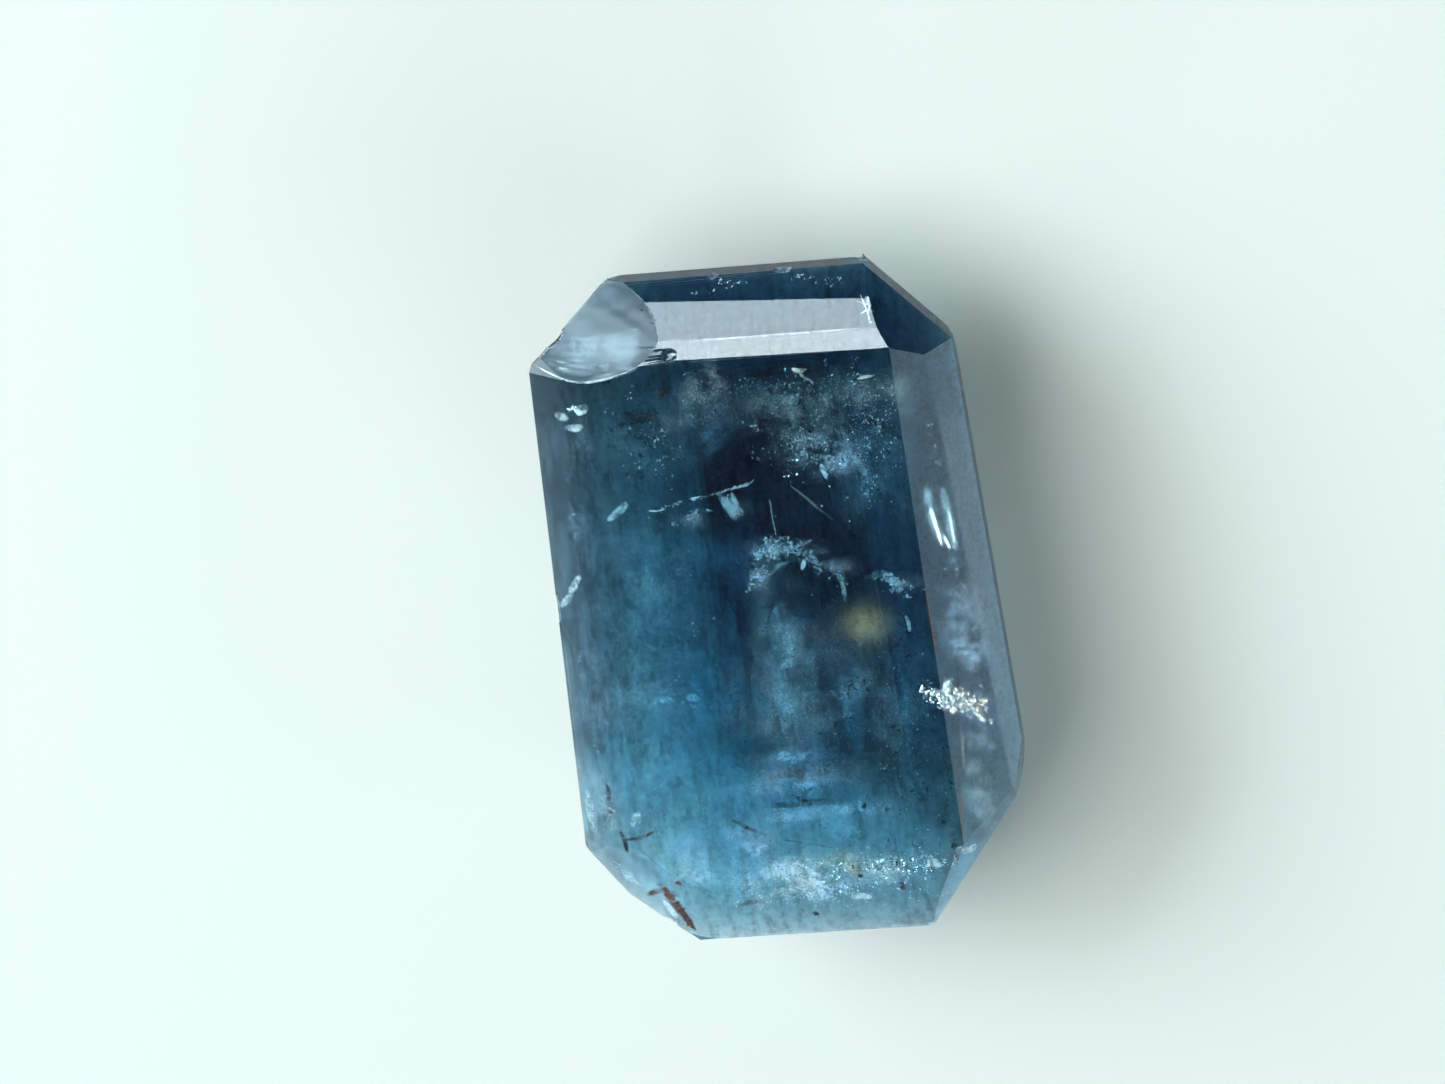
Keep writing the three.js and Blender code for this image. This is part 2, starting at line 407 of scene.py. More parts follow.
def afghaniteMaterial():
    # Afghanite: a clear silicate, n = 1.525, whose teal blue deepens with the path through it.
    material, add = emptyMaterial("polished afghanite")
    frost = add("Attribute", {"attribute_name": "frost"}).outputs["Fac"]
    place = add("TexCoord").outputs["Object"]
    axes = dict(add("SeparateXYZ", None, {0: place}).outputs.items())
    for name, added, base, share in afghanite["slants"]:
        axes[name] = add("Math", {"operation": "MULTIPLY_ADD", 1: share}, {
            0: axes[added], 2: axes[base]})
    zone = {name: add("MapRange", {
        "interpolation_type": way, "From Min": start * mm, "From Max": end * mm, "To Min": low, "To Max": high}, {
        0: axes[axis]}) for name, (axis, start, end, low, high, way) in afghanite["zones"].items()}
    # painted shade in the underside's tint: darker at its head and on its right, and the zones run slightly across
    # the stone
    lengthPaintedShade = add("Mix", {
        "data_type": "RGBA", 6: linear(afghanite["headPaintedShade"]), 7: linear(afghanite["middlePaintedShade"])}, {
        0: zone["lengthwise"]})
    paintedShade = add("Mix", {"data_type": "RGBA", 7: linear(afghanite["rightPaintedShade"])}, {
        0: zone["rightShadeZone"], 6: lengthPaintedShade})
    # faint streaks along the stone, about 0.15 mm across and 1 mm long, and cloudy patches of half a millimetre,
    # which break up the painted shade
    grid = add("Mapping", {"Scale": (3300, 700, 900)}, {0: place})
    streaks = add("TexNoise", {"Scale": 1.6, "Detail": 4.0, "Roughness": 0.62}, {0: grid})
    patches = add("TexNoise", {"Scale": 1900.0, "Detail": 5.0, "Roughness": 0.6}, {0: place})
    both = add("Math", {"operation": "MULTIPLY"}, {0: streaks, 1: patches})
    mottle = add("MapRange", {
        "From Min": 0.12, "From Max": 0.42, "To Min": 0.25, "To Max": 1.9}, {0: both})
    mottledShade = add("Mix", {
        "data_type": "RGBA", "blend_type": "MULTIPLY", "clamp_result": True, 0: 1.0}, {6: paintedShade, 7: mottle})
    # no painted shade towards the foot, and a little painted shade again along the girdle on the left and at the foot
    shadeFreePart = add("Math", {"operation": "MULTIPLY"}, {
        0: zone["shadeFreeFoot"], 1: zone["leftOfCorner"]})
    lowerTint = add("Mix", {"data_type": "RGBA", 7: (1, 1, 1, 1)}, {0: shadeFreePart, 6: mottledShade})
    for rim in ("leftRimShade", "footRimShade"):
        lowerTint = add("Mix", {"data_type": "RGBA", "blend_type": "MULTIPLY", 0: 1.0}, {
            6: lowerTint, 7: zone[rim]})
    # just under the upper facets a faint fibrous haze, its fibres 0.05 to 0.1 mm thick and 0.3 mm long
    grid = add("Mapping", {"Scale": (9000, 3000, 5000)}, {0: place})
    fibres = add("TexNoise", {"Scale": 1.0, "Detail": 5.0, "Roughness": 0.66}, {0: grid})
    specks = add("TexNoise", {"Scale": 15000.0, "Detail": 3.0, "Roughness": 0.7}, {0: place})
    mixed = add("Math", {"operation": "MULTIPLY_ADD", 1: afghanite["fibreShare"]}, {
        0: fibres, 2: specks})
    haze = add("MapRange", {
        "From Min": 1.12, "From Max": 1.62, "To Min": 0.3, "To Max": 1.0}, {0: mixed})
    # broken faces, the roughest of the upper ones, are clear of it
    broken = add("MapRange", {"From Min": 0.41, "From Max": 0.44}, {0: frost})
    upperTint = add("Mix", {"data_type": "RGBA", 7: (1, 1, 1, 1)}, {0: broken, 6: haze})
    tint = add("Mix", {"data_type": "RGBA"}, {0: zone["crown"], 6: lowerTint, 7: upperTint})
    # the right side is worn duller towards the head
    polish = add("Math", {"operation": "MULTIPLY_ADD"}, {
        0: zone["farRight"], 1: zone["headWear"], 2: frost})
    surface = add("BsdfPrincipled", {"IOR": afghanite["ior"], "Transmission Weight": 1.0}, {
        "Base Color": tint, "Roughness": polish})
    depth = add("VolumeAbsorption", {
        "Color": linear(afghanite["depthColour"]), "Density": afghanite["depthDensity"]})
    add("OutputMaterial", None, {"Surface": surface, "Volume": depth})
    return material


def addStone():
    piece = addObject("afghanite_stone", easedStone())
    piece.data.materials.append(afghaniteMaterial())
    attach(piece, "root")
    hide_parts(stone["node"])


addStone()
print("stone ready")


# how the inclusions are drawn, in mm
drawing = {
    "rings": 11, "around": 12,  # points along and round a ribbon
    "halfThick": 0.003,
    "narrowFade": 0.25, "fadePerWidth": 8,  # a ribbon's cover is divided by the first plus this times its half width
    "margin": 0.012,  # flakes keep this far inside the facets
    "knot": 9, "knotAlong": 0.06, "knotStep": 0.6, "flakeStep": 0.2,  # flakes in a knot, and how far both stray
    "flakeHeight": 0.16, "flakeWidth": 0.55,  # for a half length of 1
    "coverSpread": (0.5, 1.4), "toneSpread": (0, 2.4), "sizeSpread": (0.5, 1.3),  # of single flakes and corners
    "flakeLean": (0, 0, 1), "flakeScatter": 0.5,  # the way that level flakes look, give or take
}


def at(height, *places):
    # a path that keeps one height, from the x and the y of each of its points in turn
    return [(x, y, height) for x, y in zip(places[::2], places[1::2])]


def ribbon(points, halfWidth, density, shade):
    # A flat tube along a path: each ring is an ellipse, wide by the half width and thin by the half thickness, and
    # both shrink to nothing at the two ends as the square root of 1 - (2s - 1)^2, where s runs from 0 to 1. Its cover
    # fades to the two sides as 1 - cos^2 of the angle round the ring, and is fuller on a narrow ribbon.
    # Like the flakes and the cloud sheets, it is given back as vertices, faces, cover and tone.
    rings, around = drawing["rings"], drawing["around"]
    halfThick = min(drawing["halfThick"], halfWidth / 2)
    points = np.array(points, dtype=float)
    s = np.linspace(0, 1, rings)
    path = np.stack([np.interp(s, np.linspace(0, 1, len(points)), points[:, k]) for k in range(3)], axis=1)
    path[1:-1] = (path[:-2] + 2 * path[1:-1] + path[2:]) / 4
    along = unit(np.gradient(path, axis=0))
    side = unit(np.cross(along, np.array([0.0, 0.0, 1.0])))
    normal = np.cross(side, along)
    swell = np.sqrt(np.clip(1 - (2 * s - 1) ** 2, 0, 1))
    angle = np.linspace(0, 2 * np.pi, around, endpoint=False)
    inner = slice(1, rings - 1)
    rim = path[inner, None] + swell[inner, None, None] * (
        halfWidth * np.cos(angle)[None, :, None] * side[inner, None]
        + halfThick * np.sin(angle)[None, :, None] * normal[inner, None])
    vertices = np.concatenate([path[:1], rim.reshape(-1, 3), path[-1:]])
    fullness = min(1.0, drawing["narrowFade"] + halfWidth * drawing["fadePerWidth"])
    softness = np.clip((1 - np.cos(angle)[None] ** 2) * swell[inner, None] / fullness, 0, 1)
    cover = np.clip(np.concatenate([[0], softness.ravel(), [0]]) * density, 0, 1)
    turn, following = np.arange(around), (np.arange(around) + 1) % around
    row = 1 + np.arange(rings - 3)[:, None] * around
    walls = np.stack([row + turn, row + following, row + following + around, row + turn + around], axis=-1)
    base, last = 1 + (rings - 3) * around, len(vertices) - 1
    head = np.stack([np.zeros(around, int), 1 + following, 1 + turn], axis=1)
    tail = np.stack([np.full(around, last), base + turn, base + following], axis=1)
    faces = [*walls.reshape(-1, 4).tolist(), *head.tolist(), *tail.tolist()]
    return vertices, faces, cover, np.full(len(vertices), shade)


def isInside(points, margin):
    # n . p below d - margin for each facet, and clear of the hollow
    return ((points @ planes[:, :3].T < planes[:, 3] - margin).all(axis=-1)
            & (hollowDepth(points * mm) > breakHollow["clear"]))


def crownHeight(x, y, margin):
    # the lowest of the crown's planes over each point, z = (d - margin - nx x - ny y) / nz
    top = planes[planes[:, 2] > stone["overhead"]]
    heights = (top[:, 3] - margin - x[..., None] * top[:, 0] - y[..., None] * top[:, 1]) / top[:, 2]
    return heights.min(axis=-1)


def hollowHeight(x, y):
    # the hollow's floor over each point: the lower root z of a z^2 + 2 b z + c = 1, from |own place| = 1 in its
    # radii, or a height above the whole stone where there is none
    toOwn = hollowAxes / breakHollow["radii"]
    flat = (np.stack([x, y, 0 * x], axis=-1) * mm - breakHollow["centre"]) @ toOwn
    rise = np.array([0, 0, mm]) @ toOwn
    a, b, c = rise @ rise, flat @ rise, (flat ** 2).sum(axis=-1)
    inside = b * b - a * (c - 1)
    return np.where(inside > 0, (-b - np.sqrt(np.clip(inside, 0, None))) / a, breakHollow["noFloor"])


def strewn(rows, lean, scatter, seed):
    # Thin six-sided plates with a low point on each face, turned to look along the lean give or take the scatter.
    # They gather in knots. Each knot lies at a random place on its row's path, moved by a normal-distributed step,
    # and each plate lies a third of such a step from its knot.
    random = np.random.default_rng(seed)
    angle = np.linspace(0, 2 * np.pi, 6, endpoint=False)
    point = [0, 0, drawing["flakeHeight"]]
    plate = np.array([point, *np.stack([np.cos(angle), np.sin(angle), 0 * angle], axis=1), [-v for v in point]])
    faces = [[0, 1 + k, 1 + (k + 1) % 6] for k in range(6)] + [[7, 1 + (k + 1) % 6, 1 + k] for k in range(6)]
    centres, sizes, cover, tone = [], [], [], []
    for path, spread, count, size, density, shade in rows:
        path = np.array(path, dtype=float)
        knot = np.arange(count) // drawing["knot"]
        along = random.uniform(0, 1, count)[knot] + random.normal(0, drawing["knotAlong"], count)
        along = np.clip(along, 0, 1) * (len(path) - 1)
        places = np.stack([np.interp(along, np.arange(len(path)), path[:, k]) for k in range(3)], axis=1)
        step = random.normal(0, drawing["knotStep"], (count, 3))[knot]
        step += random.normal(0, drawing["flakeStep"], (count, 3))
        centres.append(places + step * np.array(spread))
        sizes.append(random.uniform(0, 1, count) ** 2 * (size[1] - size[0]) + size[0])
        cover.append(np.clip(density * random.uniform(*drawing["coverSpread"], count), 0, 1))
        tone.append(np.clip(shade * random.uniform(*drawing["toneSpread"], count), 0, 1))
    centres, sizes, cover, tone = (np.concatenate(each) for each in (centres, sizes, cover, tone))
    count = len(centres)
    normal = unit(np.array(lean) + random.normal(0, scatter, (count, 3)))
    side = unit(np.cross(normal, unit(random.normal(0, 1, (count, 3)))))
    axes = np.stack([side, np.cross(normal, side), normal], axis=1)
    shape = plate[None] * random.uniform(*drawing["sizeSpread"], (count, 8, 1)) * sizes[:, None, None]
    vertices = centres[:, None] + np.einsum("nij,njk->nik", shape * np.array([1, drawing["flakeWidth"], 1]), axes)
    kept = isInside(vertices, drawing["margin"]).all(axis=1)
    vertices, cover, tone = vertices[kept], cover[kept], tone[kept]
    allFaces = (np.array(faces)[None] + np.arange(len(vertices))[:, None, None] * 8).reshape(-1, 3)
    return vertices.reshape(-1, 3), allFaces.tolist(), np.repeat(cover, 8), np.repeat(tone, 8)


def addInclusion(name, sets, material, smooth=False):
    # one mesh from sets of vertices, faces, cover and tone
    vertices, faces, cover, tone, start = [], [], [], [], 0
    for places, loops, fade, shade in sets:
        vertices.append(places)
        faces += [[corner + start for corner in loop] for loop in loops]
        cover.append(fade)
        tone.append(shade)
        start += len(places)
    mesh = bpy.data.meshes.new(name)
    mesh.from_pydata((np.concatenate(vertices) * mm).tolist(), [], faces)
    for key, values in (("cover", cover), ("tone", tone)):
        mesh.attributes.new(key, "FLOAT", "POINT").data.foreach_set(
            "value", np.concatenate(values).astype(np.float32))
    mesh.polygons.foreach_set("use_smooth", np.full(len(mesh.polygons), smooth))
    mesh.materials.append(material)
    piece = addObject(name, mesh)
    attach(piece, "root")
    print(name, "ready:", len(faces), "faces")


def inclusionMaterial(name):
    # every inclusion reads its place, how densely it covers, and its tone
    material, add = emptyMaterial(name)
    place = add("TexCoord").outputs["Object"]
    cover, tone = (add("Attribute", {"attribute_name": key}).outputs["Fac"]
                   for key in ("cover", "tone"))
    return material, add, place, cover, tone


def filmMaterial(look):
    # Films inside the stone: a dull scattering skin, broken into wisps of 0.05 to 0.3 mm so that the stone shows
    # between them.
    material, add, place, cover, tone = inclusionMaterial(look["material"])
    fine = add("TexNoise", {"Scale": 16000.0, "Detail": 4.0, "Roughness": 0.65}, {0: place})
    coarse = add("TexNoise", {"Scale": 5200.0, "Detail": 3.0}, {0: place})
    blend = add("Math", {"operation": "ADD"}, {0: fine, 1: coarse})
    wisp = add("MapRange", {
        "From Min": 0.85, "From Max": 1.2, "To Min": 0.1, "To Max": 1.5}, {0: blend})
    alpha = add("Math", {"operation": "MULTIPLY", "use_clamp": True}, {0: wisp, 1: cover})
    colours = add("Mix", {
        "data_type": "RGBA", 6: linear(look["colour"]), 7: linear(look["otherColour"])}, {0: tone})
    film = add("BsdfPrincipled", {"Roughness": look["roughness"], "Specular IOR Level": 0.3}, {
        "Base Color": colours, "Alpha": alpha})
    add("OutputMaterial", None, {"Surface": film})
    return material


def addFilms(name, look, otherRibbons=()):
    # ribbons, and flakes that lie roughly level
    ribbons = [ribbon(*row) for row in (*look["bands"], *otherRibbons)]
    flakes = strewn(look["flakes"], drawing["flakeLean"], drawing["flakeScatter"], look["seed"])
    addInclusion(name, [*ribbons, flakes], filmMaterial(look))


veils = {
    "material": "healed fracture film", "roughness": 0.6, "seed": 11,
    "colour": "#dfe6e8", "otherColour": "#c9b48e",  # clean and dusty
    # bruised glass along the lower edge of the break: where the edge is looked for in mm and in how many steps, half
    # width of the bruise, and how far it lies footwards of the edge and below it
    "rimAcross": (-2.2, -0.98, 24), "rimAlong": (2.6, 3.2, 400), "rimHalfWidth": 0.012, "rimInset": (0.016, 0.012),
    # milky rows under the broken face: how far each lies up its slope, then how far all lie below it, in mm
    "bruises": (0, 0.04, 0.08, 0.12, 0.16, 0.2, 0.25, 0.3),
    "bruiseDepth": 0.105, "bruiseHalfWidth": 0.046, "bruiseCover": 0.15, "bruiseMargin": 0.07,
    # path in mm, half width in mm, cover from 0 to 1, dustiness from 0 to 1
    "bands": [
        (at(2.02, -1.2, 1.25, -1.1, 1.24, -1, 1.26), 0.012, 1, 0),
        (at(1.95, -0.43, 1.36, -0.35, 1.22, -0.28, 1.04), 0.06, 0.4, 0),
        (at(1.95, -0.3, 1.38, -0.27, 1.22, -0.26, 1.06), 0.04, 0.35, 0),
        (at(2.25, -0.5, 3.185, 0.5, 3.185, 1.5, 3.185), 0.007, 0.9, 0.1),
        (at(1.98, -0.42, 1.38, -0.3, 1.42, -0.2, 1.42), 0.012, 0.8, 0),
        (at(2, -0.77, 1.33, -0.7, 1.35, -0.62, 1.36), 0.012, 0.9, 0),
        (at(1.98, -0.23, 1.43, -0.12, 1.44, -0.03, 1.51), 0.012, 0.8, 0),
        (at(1.97, -1.66, 1.15, -1.57, 1.21, -1.47, 1.29, -1.4, 1.36), 0.05, 0.55, 0),
        ([(-2.03, 2.4, 2.04), (-1.95, 2.39, 2.09), (-1.87, 2.4, 2.14)], 0.06, 0.95, 0.15),
        ([(-1.78, 2.43, 2.18), (-1.72, 2.5, 2.21), (-1.66, 2.56, 2.22)], 0.055, 0.95, 0.1),
        ([(-1.93, 2.26, 2.06), (-1.82, 2.26, 2.12), (-1.71, 2.31, 2.18)], 0.05, 0.55, 0.2),
        ([(-2.16, 0.33, 1.98), (-2.09, 0.42, 2.03), (-1.99, 0.58, 2.09)], 0.05, 0.95, 0),
        ([(-2.28, 0.14, 1.88), (-2.19, 0.24, 1.94), (-2.09, 0.34, 2)], 0.05, 0.5, 0.1),
        (at(1.82, 1.18, 0.23, 1.28, 0.17, 1.38, 0.11), 0.04, 0.85, 0),
        ([(1.72, 1.3, 2), (1.78, 0.95, 2.06), (1.86, 0.55, 2.12)], 0.07, 0.75, 0),
        ([(1.9, 1.25, 1.98), (1.93, 0.9, 2.02), (1.98, 0.5, 2.07)], 0.06, 0.7, 0),
        (at(1.72, 1.03, 0.25, 1.14, 0.26, 1.24, 0.23), 0.05, 0.4, 0),
        (at(1.92, 1.36, -0.17, 1.38, -0.28, 1.38, -0.39), 0.025, 0.6, 0),
        (at(1.97, 0.34, 1.4, 0.47, 1.27, 0.62, 1.09, 0.75, 0.97), 0.016, 0.34, 0.7),
        (at(1.97, 0.1, 1.28, 0.1, 1.02, 0.12, 0.8), 0.008, 0.4, 0.3),
        (at(2.2, 0.54, 2.79, 0.62, 2.75, 0.71, 2.77), 0.03, 0.95, 0.5),
        (at(2.2, 1.21, 2.61, 1.31, 2.63, 1.4, 2.63), 0.022, 0.9, 0.45),
        (at(2.17, 0.61, 2.72, 0.67, 2.66, 0.75, 2.6), 0.02, 0.7, 0.3),
        (at(2.02, 0.66, 2.4, 0.72, 2.35, 0.74, 2.26, 0.7, 2.17), 0.012, 0.8, 0.2),
        (at(2.02, 0.65, 2.12, 0.72, 2.14, 0.78, 2.2), 0.01, 0.7, 0.2),
        (at(2.02, -0.01, 2.13, 0.04, 2.12, 0.1, 2.13), 0.012, 0.8, 0),
        (at(1.87, 1.02, 1.69, 1.08, 1.57, 1.15, 1.4), 0.05, 0.7, 0),
        (at(1.97, 0.69, 1.63, 0.71, 1.53, 0.73, 1.44), 0.03, 0.9, 0),
        (at(1.72, -0.05, 0.32, 0.07, 0.45, 0.2, 0.47), 0.03, 0.4, 0.3),
        (at(1.82, 0.68, 0.35, 0.73, 0.21, 0.74, 0.04), 0.025, 0.5, 0.5),
        (at(2.07, 0.34, 0.46, 0.37, 0.52, 0.39, 0.58), 0.028, 1, 0),
        (at(2.02, 0.37, 0.71, 0.43, 0.75, 0.49, 0.78), 0.014, 0.8, 0),
        (at(1.32, -0.05, -0.07, -0.12, -0.76, -0.16, -1.61), 0.1, 0.42, 0.15),
        (at(1.12, -0.35, -0.56, -0.37, -1.13, -0.4, -1.82), 0.1, 0.34, 0.2),
        (at(1.42, 0.26, -0.53, 0.21, -0.93, 0.23, -1.27), 0.08, 0.4, 0.3),
        (at(0.92, -0.6, -0.13, -0.66, -1.05, -0.71, -1.96), 0.12, 0.3, 0.1),
        (at(0.82, -0.99, -0.59, -1.03, -1.27, -1.05, -2.08), 0.14, 0.26, 0.1),
        (at(0.92, 0.59, -0.86, 0.54, -1.38, 0.54, -2.06), 0.14, 0.3, 0.1),
        (at(1.02, 1.12, -0.94, 1.11, -1.4, 1.13, -1.86), 0.1, 0.28, 0.05),
        ([(-1.81, -2.34, 2.08), (-1.76, -2.24, 2.1), (-1.72, -2.15, 2.12)], 0.04, 1, 0),
        (at(1.42, -1.43, -1.06, -1.35, -1.08, -1.26, -1.1), 0.05, 0.8, 0),
        (at(1.42, -1.15, -1.06, -1.07, -1.07, -0.98, -1.11), 0.055, 0.8, 0),
        ([(-2.26, -1.94, 1.89), (-2.25, -2.22, 1.9), (-2.24, -2.48, 1.91)], 0.07, 0.8, 0),
        ([(-2.12, -2.7, 1.88), (-1.98, -2.94, 1.84), (-1.78, -3.08, 1.88)], 0.09, 0.7, 0),
        (at(1.72, -1.23, -2.95, -0.6, -3.05, 0.04, -3.05), 0.2, 0.4, 0.05),
        (at(1.62, 0.03, -2.43, 0.3, -2.62, 0.6, -2.82), 0.18, 0.45, 0),
        ([(0.36, -3.33, 2.07), (0.5, -3.31, 2.08), (0.61, -3.36, 2.06)], 0.05, 0.8, 0.05),
        ([(0.36, -2.9, 2.12), (0.47, -2.96, 2.12), (0.56, -3.02, 2.1)], 0.08, 0.85, 0.6),
        ([(-0.45, -3.18, 2.09), (-0.34, -3.16, 2.1), (-0.26, -3.21, 2.08)], 0.05, 0.9, 0),
        ([(-0.14, -3, 2.15), (-0.01, -2.97, 2.16), (0.11, -3.02, 2.14)], 0.05, 0.8, 0),
        ([(1.2, -2.98, 2.16), (1.31, -2.95, 2.17), (1.42, -3.01, 2.15)], 0.05, 0.8, 0.1),
        ([(1.6, -2.8, 2.17), (1.62, -2.87, 2.04), (1.73, -2.88, 1.91)], 0.07, 0.8, 0.1),
        ([(1.8, -1.36, 2.18), (1.79, -1.61, 2.19), (1.77, -1.95, 2.2)], 0.012, 0.6, 0.5),
        ([(-1.63, -3.2, 2.04), (-1.56, -3.38, 1.99), (-1.46, -3.58, 1.94)], 0.05, 1, 0),
    ],
    # flakes strewn along a path or round a point in mm: spread across, along and down, how many, smallest and
    # largest half length, cover, dustiness
    "flakes": [
        (at(2, 0.35, 2, 0.95, 1.72), (0.3, 0.2, 0.1), 900, (0.004, 0.02), 0.52, 0),
        ([(0.8, 1.66, 2.05)], (0.22, 0.1, 0.05), 260, (0.004, 0.02), 0.75, 0),
        (at(1.85, 0.1, 2.5, 1.2, 2.2), (0.45, 0.24, 0.1), 800, (0.004, 0.022), 0.6, 0.1),
        (at(2, 1.2, 2.55, 1.4, 1.8), (0.16, 0.2, 0.1), 240, (0.004, 0.018), 0.55, 0.1),
        (at(1.9, -0.48, 2.6, -0.6, 2.1), (0.16, 0.16, 0.1), 260, (0.004, 0.022), 0.5, 0.3),
        (at(2.02, -1.19, 1.25, -0.82, 1.32, -0.39, 1.4, -0.09, 1.48), (0.012, 0.014, 0.01),
         160, (0.006, 0.02), 1, 0),
        (at(1.9, -0.19, 0.3, -0.13, 0.51, -0.05, 0.65, 0.06, 0.73, 0.2, 0.73, 0.31, 0.67, 0.46, 0.49),
         (0.08, 0.07, 0.04), 640, (0.005, 0.03), 0.9, 0),
        (at(1.85, -0.2, 0.25, 0.1, 0.62, 0.5, 0.5), (0.12, 0.12, 0.06), 240, (0.004, 0.02), 0.6, 0),
        (at(1.9, 0.46, 0.49, 0.59, 0.41, 0.72, 0.35, 0.75, 0.2, 0.74, 0.04),
         (0.04, 0.04, 0.03), 160, (0.005, 0.022), 0.9, 0.3),
        ([(0.13, 0.6, 1.7)], (0.22, 0.12, 0.05), 50, (0.005, 0.025), 0.6, 0.05),
        (at(1.97, 0.34, 1.4, 0.47, 1.27, 0.62, 1.09, 0.75, 0.97), (0.01, 0.01, 0.01),
         40, (0.004, 0.012), 0.6, 0.7),
        (at(1.95, -0.3, 1.3, -0.24, 1.12), (0.09, 0.06, 0.01), 24, (0.006, 0.026), 0.3, 0),
        (at(1.9, -0.92, 1.04, -0.62, 1.16), (0.1, 0.07, 0.02), 140, (0.005, 0.022), 0.6, 0),
        (at(1.9, 1.18, 0.25, 1.4, 0.12), (0.1, 0.08, 0.03), 200, (0.005, 0.026), 0.8, 0),
        (at(1.9, 1.15, 1.9, 1.2, 1), (0.2, 0.26, 0.1), 260, (0.004, 0.022), 0.6, 0.05),
        ([(0.67, -1, 1.9)], (0.7, 0.7, 0.25), 420, (0.004, 0.02), 0.5, 0.15),
        ([(1.04, -1.9, 1.9)], (0.4, 0.7, 0.25), 300, (0.004, 0.018), 0.4, 0.1),
        ([(-0.1, -1.1, 1.8)], (0.4, 0.8, 0.25), 300, (0.004, 0.02), 0.45, 0.1),
        (at(1.9, -1.2, 1.2, -1.1, -1.6), (0.5, 0.5, 0.2), 300, (0.004, 0.016), 0.4, 0),
        ([(-1.12, -1.07, 1.7)], (0.22, 0.06, 0.03), 24, (0.005, 0.03), 0.8, 0),
        ([(0.2, -2.1, 1.9)], (0.5, 0.3, 0.2), 160, (0.004, 0.02), 0.5, 0.1),
        (at(2.08, -0.5, -3, 1.3, -3), (0.3, 0.2, 0.05), 700, (0.004, 0.024), 0.8, 0.15),
        (at(2.05, -1.2, -2.6, 0.2, -3), (0.3, 0.3, 0.05), 400, (0.004, 0.018), 0.5, 0),
        (at(2, -0.6, -3.35, 1.2, -3.3), (0.3, 0.12, 0.04), 260, (0.004, 0.018), 0.5, 0.1),
        (at(2, -1.3, 2.5, 1.3, -2.7), (1.3, 0.9, 0.2), 220, (0.003, 0.009), 0.6, 0.1),
        (at(2.05, 1.87, 2.46, 1.9, 0.2), (0.16, 0.3, 0.05), 90, (0.004, 0.02), 0.4, 0.3),
        (at(2.05, 1.95, 0.2, 1.95, -2), (0.16, 0.3, 0.05), 90, (0.004, 0.02), 0.4, 0.1),
        (at(2, -1.94, 1.5, -2, -1.5), (0.12, 0.4, 0.05), 90, (0.004, 0.02), 0.4, 0.1),
        (at(1.95, -0.4, 3.66, 1.4, 3.66), (0.1, 0.08, 0.03), 70, (0.006, 0.022), 0.7, 0.1),
        (at(1.95, -1.35, 2.35, -0.9, 1.7), (0.3, 0.3, 0.1), 180, (0.004, 0.022), 0.5, 0),
        (at(1.95, 1.45, 2.4, 1.5, 1.7), (0.14, 0.25, 0.1), 140, (0.004, 0.022), 0.6, 0.1),
        ([(1.6, -1, 2.15), (2, -1.35, 2.08)], (0.12, 0.14, 0.03), 200, (0.005, 0.02), 0.6, 0.1),
        (at(2.08, -0.6, -3.12, 0.4, -3.12), (0.25, 0.14, 0.05), 520, (0.004, 0.024), 0.9, 0),
    ],
}


def brokenRim():
    # the lower edge of the hollow: for each x the first y at which its depth falls below 1 on the crown's surface
    x, y = np.meshgrid(np.linspace(*veils["rimAcross"]), np.linspace(*veils["rimAlong"]), indexing="ij")
    height = crownHeight(x, y, 0)
    first = np.argmax(hollowDepth(np.stack([x, y, height], axis=-1) * mm) < 1, axis=1)
    row = np.arange(len(x))
    footwards, below = veils["rimInset"]
    return np.stack([x[row, first], y[row, first] - footwards, height[row, first] - below], axis=-1)


def bruisedRows():
    # each row is the rim moved up the slope and laid at one depth under the hollow's surface
    x, y, _ = brokenRim().T
    for climb in veils["bruises"]:
        row = np.stack([x, y + climb, hollowHeight(x, y + climb) - veils["bruiseDepth"]], axis=-1)
        kept = (row @ planes[:, :3].T < planes[:, 3] - veils["bruiseMargin"]).all(axis=1)
        yield row[kept], veils["bruiseHalfWidth"], veils["bruiseCover"], 0


rim = (brokenRim(), veils["rimHalfWidth"], 1, 0)
addFilms("fluid_veils", veils, [rim, *bruisedRows()])


